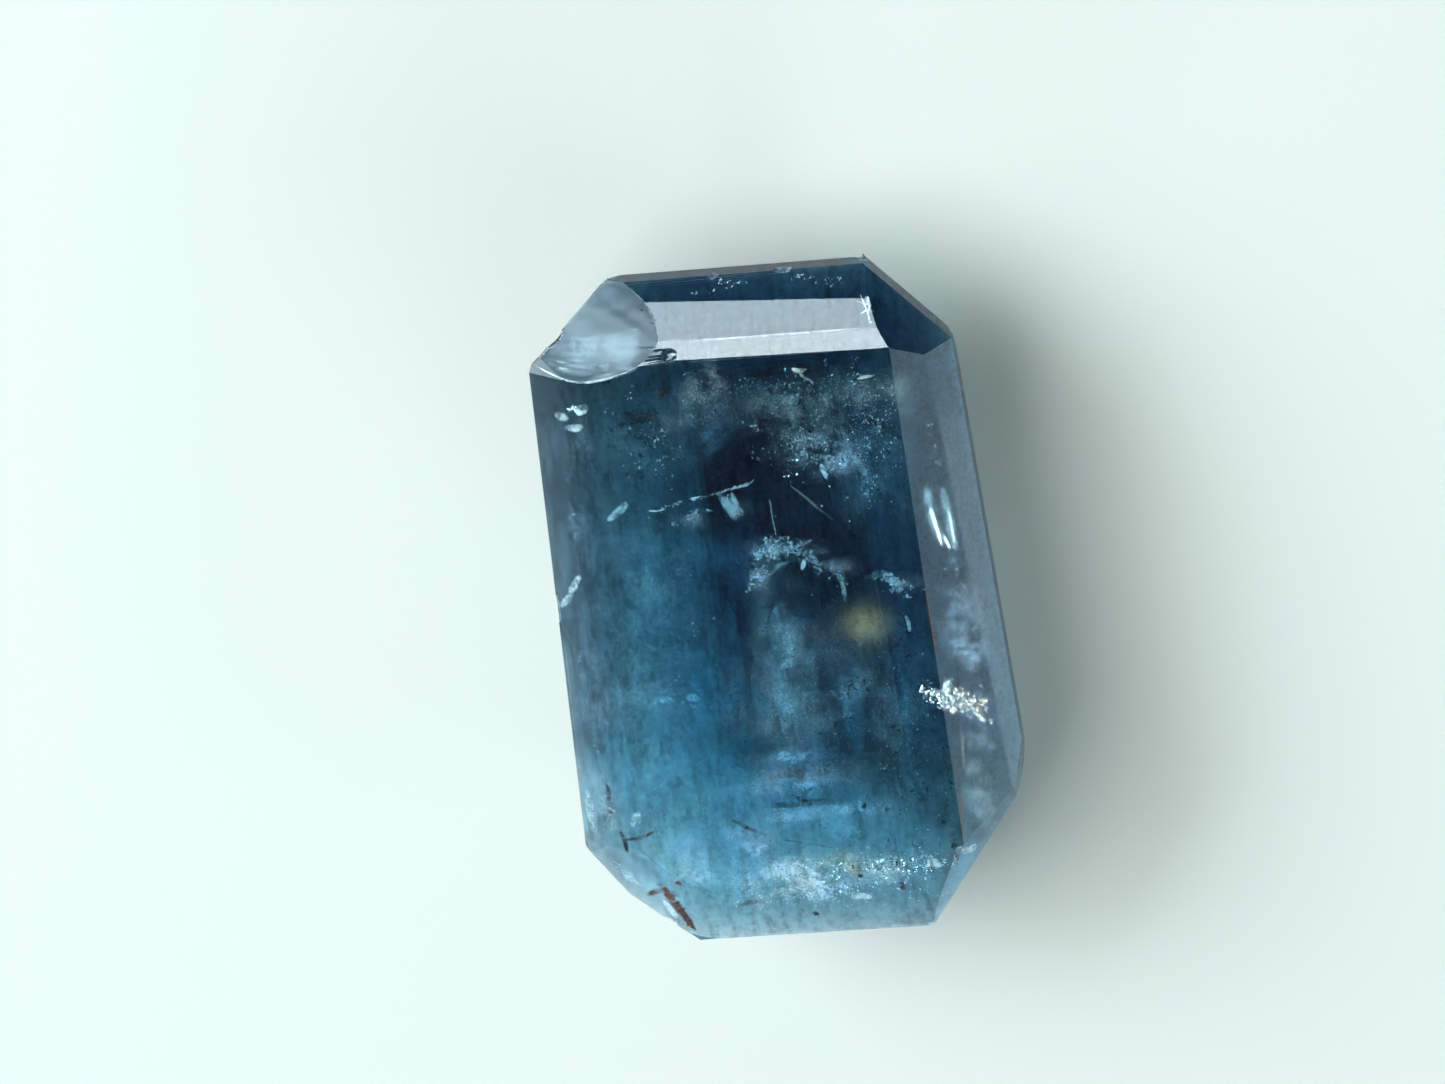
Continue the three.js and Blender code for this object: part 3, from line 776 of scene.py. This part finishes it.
clouds = {
    "across": (-2.3, 2.3, 104), "along": (-3.7, 3.7, 168),  # from, to in mm, and in how many steps
    "waves": (0.05, 1.9, 1.3), "fineWaves": (0.02, 5.1, 3.7),  # height in mm, and how fast they run across and along
    # all in mm: how far each sheet dips under the crown and more for each lower sheet, and under the broken face
    "underCrown": 0.05, "underBreak": 0.16, "margin": 0.03,
    "thinnest": 0.012,  # least cover that is kept
    "roughness": 0.7, "white": "#e4e4e4", "blue": "#c6daf0", "dusty": "#e0c48c",
    # height in mm, then soft patches: x, y, half widths across and along in mm, strength and dustiness
    "sheets": [
        (2.12, [(0.67, 1.96, 0.44, 0.23, 0.16, 0), (1.09, 2.35, 0.53, 0.17, 0.12, 0),
            (0.23, 2.3, 0.32, 0.15, 0.1, 0), (0.85, 1.67, 0.26, 0.13, 0.28, 0), (-0.48, 2.53, 0.17, 0.21, 0.18, 0),
            (-0.29, 2.69, 0.11, 0.27, 0.2, 0), (-0.73, 2.27, 0.21, 0.21, 0.08, 0),
            (1.58, 2.37, 0.15, 0.23, 0.05, 0), (-0.24, 1.22, 0.12, 0.1, 0.05, 0),
            (0.2, 0.71, 0.27, 0.09, 0.4, 0), (-0.1, 0.5, 0.1, 0.2, 0.25, 0),
            (0.72, 0.48, 0.15, 0.07, 0.22, 0), (1.3, 0.24, 0.19, 0.08, 0.3, 0), (-0.77, 1.14, 0.17, 0.08, 0.15, 0),
            (0.29, -2.97, 0.63, 0.15, 0.6, 0.2), (0.71, -3.03, 0.21, 0.11, 0.4, 0.1),
            (-0.15, -3.12, 0.48, 0.16, 1, 0), (-0.8, -2.78, 0.6, 0.28, 0.4, 0),
            (0.33, -2.88, 0.23, 0.11, 0.3, 0.9), (-0.21, -1.11, 0.42, 0.58, 0.1, 0),
            (-0.06, -1.98, 0.63, 0.19, 0.15, 0), (0.51, -0.48, 0.42, 0.32, 0.06, 0),
            (1.92, 0.39, 0.15, 0.84, 0.18, 0), (1.97, -0.9, 0.19, 0.63, 0.38, 0),
            (1.92, -2.05, 0.16, 0.5, 0.26, 0),
            (1.66, 2.46, 0.11, 0.15, 0.08, 0.6), (-1.89, 2.21, 0.17, 0.32, 0.12, 0),
            (-1.91, 0.83, 0.13, 0.53, 0.1, 0), (-1.98, -0.9, 0.15, 0.63, 0.1, 0),
            (-2.03, -2.05, 0.17, 0.32, 0.15, 0), (0.95, -0.19, 0.21, 0.18, 0.5, 1),
            (-1.5, 3.02, 0.55, 0.12, 0.14, 0), (-1.4, 3.66, 0.16, 0.18, 0.12, 0), (-1.75, 3.4, 0.12, 0.3, 0.08, 0)]),
        (1.82, [(0.54, 2.37, 0.84, 0.25, 0.14, 0), (-0.56, 2.11, 0.25, 0.36, 0.18, 0),
            (0.74, -1.15, 0.53, 0.53, 0.26, 0), (0.01, -0.86, 0.25, 0.84, 0.5, 0),
            (-0.1, -1.74, 0.4, 0.06, 0.9, 0), (-0.15, -2.08, 0.45, 0.07, 1, 0), (0.1, -2.4, 0.5, 0.08, 0.9, 0),
            (-1.23, 1.88, 0.36, 0.42, 0.06, 0), (1.09, -1.98, 0.27, 0.53, 0.07, 0),
            (-1.39, -0.98, 0.42, 0.84, 0.12, 0), (1.25, 1.5, 0.3, 0.5, 0.24, 0),
            (-1.35, 0.17, 0.32, 0.63, 0.1, 0), (0.68, -2.3, 0.42, 0.25, 0.1, 0)]),
        (1.22, [(0.53, 1, 0.84, 0.84, 0.06, 0), (0.64, -0.61, 0.74, 0.74, 0.1, 0),
            (-0.77, -1.19, 0.48, 0.84, 0.28, 0), (-1.52, 0.02, 0.36, 1.26, 0.22, 0),
            (-1.25, -2.87, 0.78, 0.29, 0.3, 0), (-0.08, -2.05, 0.67, 0.38, 0.25, 0),
            (-1.76, -1.8, 0.42, 0.63, 0.25, 0), (-0.61, 0.41, 0.42, 0.42, 0.2, 0)]),
    ],
}


def cloudSheets():
    # Films on a grid at a level that waves as h sin(a x) cos(b y) + h sin(a x + b y) and dips under the crown. Their
    # cover is the sum of soft patches, each falling off as exp(-(distance / half width)^2), and only what is covered
    # and inside is kept.
    x, y = np.meshgrid(np.linspace(*clouds["across"]), np.linspace(*clouds["along"]))
    corner = np.arange(x.size).reshape(x.shape)
    quads = np.stack([corner[:-1, :-1], corner[:-1, 1:], corner[1:, 1:], corner[1:, :-1]], axis=-1).reshape(-1, 4)
    (rise, a, b), (fineRise, c, d) = clouds["waves"], clouds["fineWaves"]
    for number, (level, patches) in enumerate(clouds["sheets"]):
        wave = rise * np.sin(a * x + number) * np.cos(b * y - number) + fineRise * np.sin(c * x + d * y)
        height = np.minimum(level + wave, crownHeight(x, y, clouds["underCrown"] * (1 + number)))
        height = np.minimum(height, hollowHeight(x, y) - clouds["underBreak"])
        places = np.stack([x, y, height], axis=-1).reshape(-1, 3)
        shares = [(strength * np.exp(-((x - centreX) / wide) ** 2 - ((y - centreY) / long) ** 2), dust)
                  for centreX, centreY, wide, long, strength, dust in patches]
        cloud = sum(share for share, dust in shares)
        dusty = sum(share * dust for share, dust in shares) / (cloud + 1e-9)
        kept = quads[isInside(places, clouds["margin"])[quads].all(axis=1)
                     & (cloud.ravel()[quads].max(axis=1) > clouds["thinnest"])]
        used, renamed = np.unique(kept, return_inverse=True)
        yield (places[used], renamed.reshape(-1, 4).tolist(), np.clip(cloud, 0, 1).ravel()[used],
               dusty.ravel()[used])


def cloudMaterial():
    # Milky clouds: swarms of fluid drops of 10 to 30 microns, gathered in wisps with clear gaps between them.
    # The drops are drawn at 30 microns, because finer ones wouldn't show. Dusty parts are finer and unbroken.
    material, add, place, cover, tone = inclusionMaterial("milky fluid-drop cloud")
    wide = add("TexNoise", {"Scale": 2700.0, "Detail": 7.0, "Roughness": 0.68}, {0: place})
    wisps = add("MapRange", {
        "interpolation_type": "SMOOTHSTEP", "From Min": 0.41, "From Max": 0.65, "To Min": 0.06, "To Max": 2.0}, {
        0: wide})
    grain = add("TexNoise", {"Scale": 34000.0, "Detail": 2.0, "Roughness": 0.6}, {0: place})
    grains = add("MapRange", {
        "From Min": 0.34, "From Max": 0.66, "To Min": 0.3, "To Max": 1.5}, {0: grain})
    drop = add("TexVoronoi", {"Scale": 30000.0}, {0: place})
    drops = add("MapRange", {"From Min": 0.3, "From Max": 0.1, "To Max": 1.6}, {0: drop})
    grainy = add("Math", {"operation": "ADD"}, {0: grains, 1: drops})
    crisp = add("Math", {"operation": "MULTIPLY"}, {0: grainy, 1: wisps})
    # low in the stone the swarms blur into haze
    haze = add("MapRange", {
        "From Min": 0.35, "From Max": 0.7, "To Min": 0.4, "To Max": 1.5}, {0: wide})
    height = add("SeparateXYZ", None, {0: place}).outputs["Z"]
    near = add("MapRange", {"From Min": 1.5 * mm, "From Max": 2.05 * mm}, {0: height})
    broken = add("Mix", {"data_type": "FLOAT"}, {0: near, 2: haze, 3: crisp})
    filled = add("Mix", {"data_type": "FLOAT", 3: 0.9}, {0: tone, 2: broken})
    alpha = add("Math", {"operation": "MULTIPLY", "use_clamp": True}, {0: filled, 1: cover})
    # white and bluish parts, 0.7 mm across
    shades = add("TexNoise", {"Scale": 1500.0, "Detail": 2.0}, {0: place})
    shade = add("MapRange", {"From Min": 0.4, "From Max": 0.6}, {0: shades})
    milky = add("Mix", {
        "data_type": "RGBA", 6: linear(clouds["white"]), 7: linear(clouds["blue"])}, {0: shade})
    colours = add("Mix", {"data_type": "RGBA", 7: linear(clouds["dusty"])}, {0: tone, 6: milky})
    film = add("BsdfPrincipled", {
        "Roughness": clouds["roughness"], "Specular IOR Level": 0.3}, {"Base Color": colours, "Alpha": alpha})
    add("OutputMaterial", None, {"Surface": film})
    return material


addInclusion("cloud_films", cloudSheets(), cloudMaterial(), smooth=True)


stains = {
    "material": "iron oxide film", "roughness": 0.75, "seed": 11,
    "colour": "#6a3116", "otherColour": "#c98a4a",  # rust and amber
    # rows as for the veils
    "bands": [
        (at(1.82, -0.82, -2.39, -0.68, -2.48, -0.53, -2.57, -0.36, -2.63), 0.024, 0.65, 0),
        (at(1.72, -0.33, -2.69, -0.03, -2.76, 0.3, -2.85), 0.014, 0.2, 0),
        ([(-1.97, -2.52, 1.96), (-1.8, -2.49, 2.04), (-1.69, -2.44, 2.07), (-1.6, -2.4, 2.07)], 0.02, 0.85, 0),
        ([(-1.8, -3.19, 1.98), (-1.69, -3.12, 2.06), (-1.54, -3.05, 2.16)], 0.04, 1, 0),
        ([(-1.62, -3.07, 2.11), (-1.51, -3.25, 2.08), (-1.42, -3.46, 2.03), (-1.33, -3.67, 1.96)], 0.055, 1, 0),
        ([(-1.6, -3, 2.12), (-1.54, -3.12, 2.1), (-1.48, -3.28, 2.07)], 0.03, 1, 0),
        ([(-1.45, -2.98, 2.21), (-1.4, -2.96, 2.23), (-1.38, -3, 2.23)], 0.025, 0.8, 0),
        ([(0.94, -3.17, 2.14), (0.95, -3.23, 2.13), (0.95, -3.28, 2.11)], 0.03, 0.9, 0),
        ([(1.57, -2.87, 2.22), (1.54, -2.91, 2.18), (1.54, -2.96, 2.13)], 0.02, 0.8, 0),
        ([(1.81, -0.65, 2.13), (1.91, -0.73, 2.1), (1.99, -0.8, 2.07)], 0.03, 0.6, 0),
        ([(1.72, -1.6, 2.25), (1.7, -2.15, 2.26), (1.68, -2.69, 2.27), (1.65, -2.86, 2.17)], 0.016, 0.5, 0),
        ([(1.64, 0.22, 2.26), (1.64, -0.07, 2.26), (1.65, -0.42, 2.26), (1.66, -0.65, 2.25)], 0.014, 0.4, 0),
    ],
    "flakes": [
        ([(1.87, -1.11, 2.15)], (0.19, 0.11, 0.02), 7, (0.012, 0.03), 0.9, 0.4),
        ([(-1.6, -3.05, 2.1), (-1.47, -3.3, 2.05), (-1.38, -3.55, 1.99)],
         (0.06, 0.06, 0.01), 150, (0.01, 0.045), 1, 0),
    ],
}
addFilms("iron_stains", stains)


darkGrains = {
    "material": "dark mineral film", "roughness": 0.5, "seed": 12,
    "colour": "#0f1b22", "otherColour": "#0f1b22",  # one colour throughout
    # rows as for the veils
    "bands": [
        (at(2.1, -1.32, 2.42, -1.12, 2.31, -0.95, 2.34), 0.06, 0.7, 0),
        (at(2.15, -0.78, 2.9, -0.84, 2.7, -0.9, 2.5), 0.08, 0.6, 0),
        ([(-2.03, -1.73, 2.05), (-2.03, -1.99, 2.05), (-2.02, -2.28, 2.06)], 0.036, 0.8, 0),
        (at(2.12, -1.96, -2.36, -1.92, -2.5, -1.9, -2.62), 0.034, 0.9, 0),
        ([(-0.85, -3.33, 2.07), (-0.67, -3.29, 2.08), (-0.47, -3.3, 2.08)], 0.035, 0.4, 0),
        ([(2.26, -0.54, 2), (2.28, -0.56, 1.98), (2.3, -0.59, 1.97)], 0.03, 0.9, 0),
        ([(2.23, -1.88, 2.06), (2.26, -1.91, 2.03), (2.3, -1.91, 2)], 0.02, 0.9, 0),
        ([(2.21, -1.99, 2.07), (2.23, -2.03, 2.06), (2.24, -2.06, 2.06)], 0.022, 0.9, 0),
        ([(-0.06, -3.48, 2.07), (-0.03, -3.51, 2.06), (0.01, -3.52, 2.05)], 0.03, 0.7, 0),
        ([(0.51, -3.01, 2.21), (0.52, -3.05, 2.2), (0.56, -3.05, 2.2)], 0.02, 0.8, 0),
        (at(1.9, -0.4, -1.92, 0, -1.9, 0.4, -1.93), 0.05, 0.4, 0),
        (at(1.9, -0.45, -2.26, 0, -2.24, 0.5, -2.27), 0.05, 0.35, 0),
        ([(0.71, -2.96, 2.23), (0.77, -2.99, 2.22), (0.81, -3.05, 2.2)], 0.025, 0.7, 0),
    ],
    "flakes": [
        (at(2.2, 1.6, -1.4, 1.58, -2.8), (0.08, 0.12, 0.03), 260, (0.005, 0.022), 0.9, 0),
        (at(2.1, 0.9, -1.2, 1.3, -2.6), (0.3, 0.3, 0.05), 200, (0.004, 0.02), 0.6, 0),
        (at(2.12, 0.1, -2.95, 1.3, -3), (0.3, 0.15, 0.04), 60, (0.006, 0.022), 0.8, 0),
        ([(1.75, 2.4, 2.15), (1.85, -1, 2.12)], (0.12, 0.3, 0.03), 50, (0.004, 0.014), 0.6, 0),
        (at(1.9, 0.9, -0.3, 0.9, -2.2), (0.6, 0.4, 0.15), 420, (0.008, 0.05), 0.45, 0),
        (at(1.9, 0, -1.9, 0.6, -2.2), (0.5, 0.3, 0.15), 160, (0.008, 0.04), 0.35, 0),
        (at(1.85, 0.2, 2.3, 1.2, 2), (0.4, 0.3, 0.15), 220, (0.008, 0.05), 0.4, 0),
        (at(1.9, -1.25, 2.4, -0.9, 1.7), (0.3, 0.3, 0.15), 180, (0.008, 0.05), 0.4, 0),
        (at(2, 1.1, 2.5, 1.5, 1.6), (0.2, 0.25, 0.1), 160, (0.008, 0.045), 0.6, 0),
    ],
}
addFilms("dark_grains", darkGrains)


platelets = {
    "seed": 23,
    "scatter": 0.2,
    "roughness": 0.26, "colour": "#eef6fa", "goldColour": "#f2b878",
    # long cracks under the right crown: paths in mm, half width in mm, cover, share of gold
    "blades": [
        ([(1.76, 1.05, 2.06), (1.8, 0.86, 2.1), (1.85, 0.62, 2.15)], 0.019, 0.9, 0),
        ([(1.94, 1, 2.02), (1.96, 0.82, 2.05), (1.98, 0.62, 2.09)], 0.013, 0.8, 0),
        ([(1.85, 0.74, 2.08), (1.89, 0.66, 2.1), (1.93, 0.56, 2.12)], 0.018, 0.9, 0),
        ([(1.35, 3.5, 2.08), (1.4, 3.36, 2.12), (1.43, 3.22, 2.16)], 0.006, 1, 0),
        ([(1.3, 3.44, 2.1), (1.38, 3.4, 2.11), (1.45, 3.38, 2.12)], 0.005, 1, 0),
        ([(1.34, 3.3, 2.14), (1.42, 3.34, 2.13), (1.48, 3.3, 2.13)], 0.005, 1, 0),
        ([(1.42, 3.46, 2.09), (1.44, 3.38, 2.11), (1.42, 3.28, 2.14)], 0.005, 1, 0),
    ],
    # the way that the broad faces look, then rows as for the flakes; dustiness stands for the share of gold
    "glitter": [
        ((0.05, 0.2, 0.98), [
            ([(1.6, -0.98, 2.21), (1.74, -1.12, 2.2)], (0.1, 0.12, 0.02), 170, (0.012, 0.06), 1, 0.1),
            ([(1.74, -1.12, 2.17), (2.03, -1.28, 2.1)], (0.08, 0.1, 0.02), 240, (0.012, 0.06), 1, 0.35),
            ([(2.03, -1.3, 2.08), (2.07, -1.5, 2.07)], (0.03, 0.05, 0.02), 20, (0.01, 0.04), 1, 0.2),
            (at(2.1, 1.9, 2.2, 2, -0.6), (0.1, 0.3, 0.02), 30, (0.005, 0.016), 1, 0.1),
        ]),
        ((-0.09, 0.1, 0.99), [
            ([(-0.1, -3.08, 2.13), (1.3, -3.05, 2.14)], (0.2, 0.16, 0.03), 220, (0.005, 0.026), 1, 0.08),
        ]),
        ((-0.09, 0.38, 0.92), [
            (at(1.92, -0.2, 3.68, 1.45, 3.68), (0.08, 0.05, 0.02), 20, (0.004, 0.012), 1, 0.1),
            ([(1.38, 3.45, 2.08), (1.42, 3.2, 2.16)], (0.04, 0.05, 0.02), 20, (0.006, 0.014), 1, 0),
        ]),
        ((-0.09, 0.2, 0.98), [
            ([(0.68, 1.71, 2.05)], (0.42, 0.19, 0.05), 30, (0.006, 0.02), 1, 0),
            ([(0.08, 0.18, 2.2)], (1.26, 1.89, 0.03), 50, (0.004, 0.01), 1, 0),
        ]),
        ((-0.24, 0.2, 0.95), [
            ([(-1.9, 2.4, 2.08), (-1.72, 2.5, 2.18)], (0.06, 0.06, 0.02), 16, (0.01, 0.03), 1, 0),
            ([(-2.1, 0.3, 2), (-2, 0.55, 2.05)], (0.04, 0.06, 0.02), 12, (0.008, 0.026), 1, 0),
        ]),
    ],
}


def plateletMaterial():
    # Air-filled cracks: light is turned back at their walls, so they shine like tiny mirrors, and the thinnest show
    # interference gold.
    material, add, _, _, tone = inclusionMaterial("air-filled crack")
    shine = add("Mix", {
        "data_type": "RGBA", 6: linear(platelets["colour"]), 7: linear(platelets["goldColour"])}, {0: tone})
    mirror = add("BsdfPrincipled", {"Metallic": 1.0, "Roughness": platelets["roughness"]}, {
        "Base Color": shine})
    add("OutputMaterial", None, {"Surface": mirror})
    return material


blades = [ribbon(*row) for row in platelets["blades"]]
glitter = [strewn(rows, lean, platelets["scatter"], platelets["seed"] + number)
           for number, (lean, rows) in enumerate(platelets["glitter"])]
addInclusion("mirror_platelets", [*blades, *glitter], plateletMaterial())


studio = {
    "floorSize": 0.6,  # metres, like the sizes of the lights
    "floorGap": 0.002 * mm,
    "floorColour": "#938c83",
    "floorRoughness": 0.9,
    "world": 0.10,
    "worldColour": "#ffffff",
    # name: direction from the stone, distance, width, height, brightness, colour
    "lights": {
        "overhead softbox": ((-0.42, 0.22, 0.88), 0.20, 0.14, 0.15, 12.5, "#d6ecf4"),
        "top panel": ((-0.15, 0.06, 0.985), 0.24, 0.06, 0.045, 6.0, "#e8f0f4"),
        "back panel": ((-0.68, 0.50, 0.55), 0.22, 0.14, 0.12, 25.0, "#cae8f6"),
        "left panel": ((-0.85, 0.08, 0.52), 0.22, 0.10, 0.08, 12.0, "#cce8f4"),
        "left strip": ((-0.84, -0.52, 0.09), 0.22, 0.16, 0.03, 3.8, "#cfe6ff"),
        "right panel": ((0.50, -0.38, 0.78), 0.22, 0.08, 0.10, 2.9, "#c4e0e2"),
        "right strip": ((0.84, -0.36, 0.40), 0.22, 0.08, 0.05, 16.0, "#c6e6ee"),
        "head strip": ((0.1, 0.95, 0.18), 0.22, 0.12, 0.05, 15.0, "#d0f0ff"),
        "foot strip": ((0.30, -0.94, 0.18), 0.22, 0.10, 0.06, 47.0, "#d2eef6"),
        "foot left strip": ((-0.35, -0.93, 0.12), 0.22, 0.04, 0.04, 86.0, "#c6e8ff"),
    },
}


def addFloor():
    half = studio["floorSize"] / 2
    mesh = bpy.data.meshes.new("floor")
    corners = [(-half, -half, 0), (half, -half, 0), (half, half, 0), (-half, half, 0)]
    mesh.from_pydata(corners, [], [(0, 1, 2, 3)])
    floor = addObject("floor", mesh)
    floor.location.z = floorLevel - studio["floorGap"]
    # matt paper scatters evenly, so it shows no gloss beside the stone
    material, add = emptyMaterial("matt pale paper")
    paper = add("BsdfPrincipled", {
        "Base Color": linear(studio["floorColour"]), "Roughness": studio["floorRoughness"]})
    add("OutputMaterial", None, {"Surface": paper})
    mesh.materials.append(material)


def addLights():
    for name, (direction, distance, width, height, brightness, colour) in studio["lights"].items():
        data = bpy.data.lights.new(name, "AREA")
        data.shape, data.size, data.size_y = "RECTANGLE", width, height
        data.energy = brightness * math.pi * width * height
        data.color = linear(colour)[:3]
        light = addObject(name, data)
        outward = Vector(direction).normalized()
        light.location = outward * distance
        light.rotation_euler = outward.to_track_quat("Z", "Y").to_euler()
        light.visible_camera = False
    world = bpy.data.worlds.new("studio")
    world.use_nodes = True
    world.node_tree.nodes.clear()
    sky = addNode(world.node_tree, "Background", {
        "Color": linear(studio["worldColour"]), "Strength": studio["world"]})
    addNode(world.node_tree, "OutputWorld", None, {"Surface": sky})
    bpy.context.scene.world = world
    bpy.context.scene.view_settings.view_transform = "Standard"


addFloor()
addLights()
print("studio ready")
